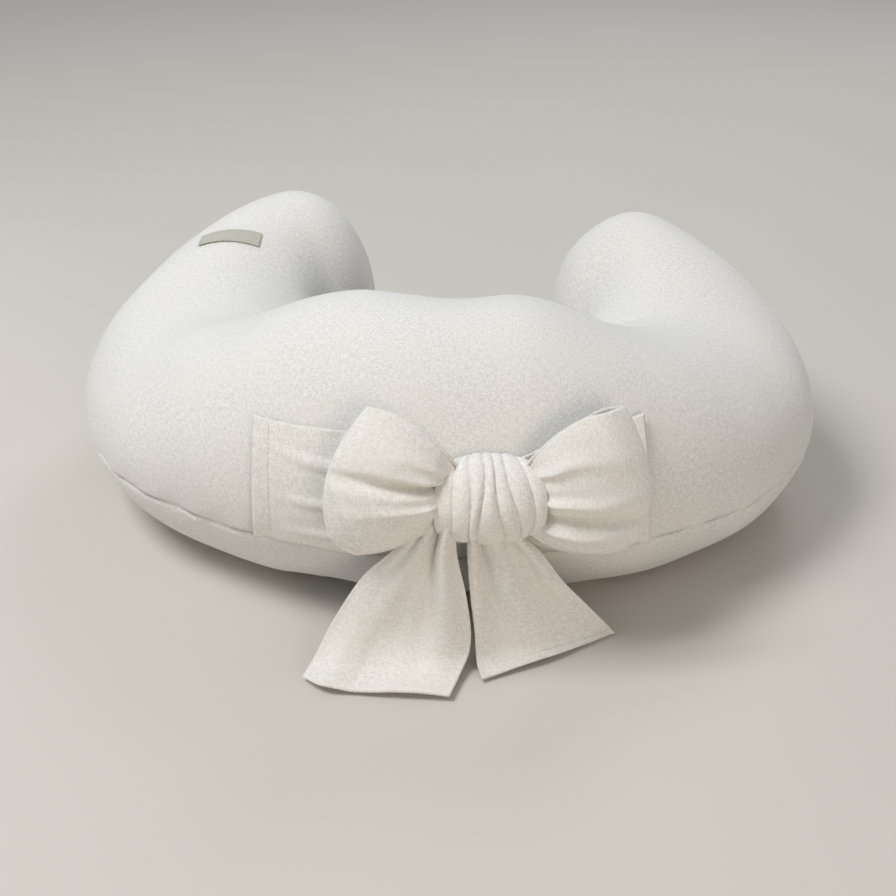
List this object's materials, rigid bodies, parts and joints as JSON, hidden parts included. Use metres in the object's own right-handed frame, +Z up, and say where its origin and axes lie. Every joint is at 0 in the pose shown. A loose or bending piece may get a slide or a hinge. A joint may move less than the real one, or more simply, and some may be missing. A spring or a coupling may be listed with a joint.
{
  "type": "nursing pillow",
  "caption": "U-shaped nursing pillow with a zipped linen cover, an inner case with fibre filling, and tie straps knotted in a bow on the front.",
  "frame": {"origin": "on the floor, under the middle of the whole object", "axes": "+Z up, +X along the width to the right of someone who faces the bow from in front, -Y out of the bowed front, +Y towards the arms' ends"},
  "size_m": [0.5958, 0.4904, 0.2047],
  "materials": {
    "cover_linen": "matte",
    "tie_linen": "matte",
    "case_cotton": "matte",
    "polyester_fibre": "matte",
    "zip_tape": "matte",
    "zip_plastic": "satin",
    "zip_metal": "satin",
    "label_woven": "matte",
    "label_satin": "satin"
  },
  "bodies": {
    "pillow": {"cover_top_panel": "cover_linen", "cover_bottom_panel": "cover_linen", "inner_case_top": "case_cotton", "inner_case_bottom": "case_cotton", "fibre_filling": "polyester_fibre", "zip_tape_upper": "zip_tape", "zip_tape_lower": "zip_tape", "zip_coil_upper": "zip_plastic", "zip_coil_lower": "zip_plastic", "zip_stops": "zip_plastic", "left_tie_band": "tie_linen", "right_tie_band": "tie_linen", "left_bow_loop": "tie_linen", "right_bow_loop": "tie_linen", "bow_knot": "tie_linen", "brand_label": "label_woven", "care_label": "label_satin"},
    "zip_slider": {"zip_slider": "zip_metal"},
    "zip_pull": {"zip_pull": "zip_metal"},
    "left_tail": {"left_tail": "tie_linen"},
    "right_tail": {"right_tail": "tie_linen"}
  },
  "joints": [
    {"name": "zip_run", "type": "hinge", "parent": "pillow", "child": "zip_slider", "pos_m": [0, 0.16864, 0.07], "axis": [0, 0, 1], "range_deg": [-47.58, 0]},
    {"name": "pull_flip", "type": "hinge", "parent": "zip_slider", "child": "zip_pull", "pos_m": [0.05924, 0.03426, 0.06918], "axis": [0.1068, -0.2424, -0.9643], "range_deg": [0, 120]},
    {"name": "left_tail_lift", "type": "hinge", "parent": "pillow", "child": "left_tail", "pos_m": [0.03374, -0.18995, 0.07828], "axis": [-0.9903, -0.1392, 0], "range_deg": [0, 40]},
    {"name": "right_tail_lift", "type": "hinge", "parent": "pillow", "child": "right_tail", "pos_m": [0.06641, -0.18536, 0.07828], "axis": [-0.9903, -0.1392, 0], "range_deg": [0, 40]}
  ]
}
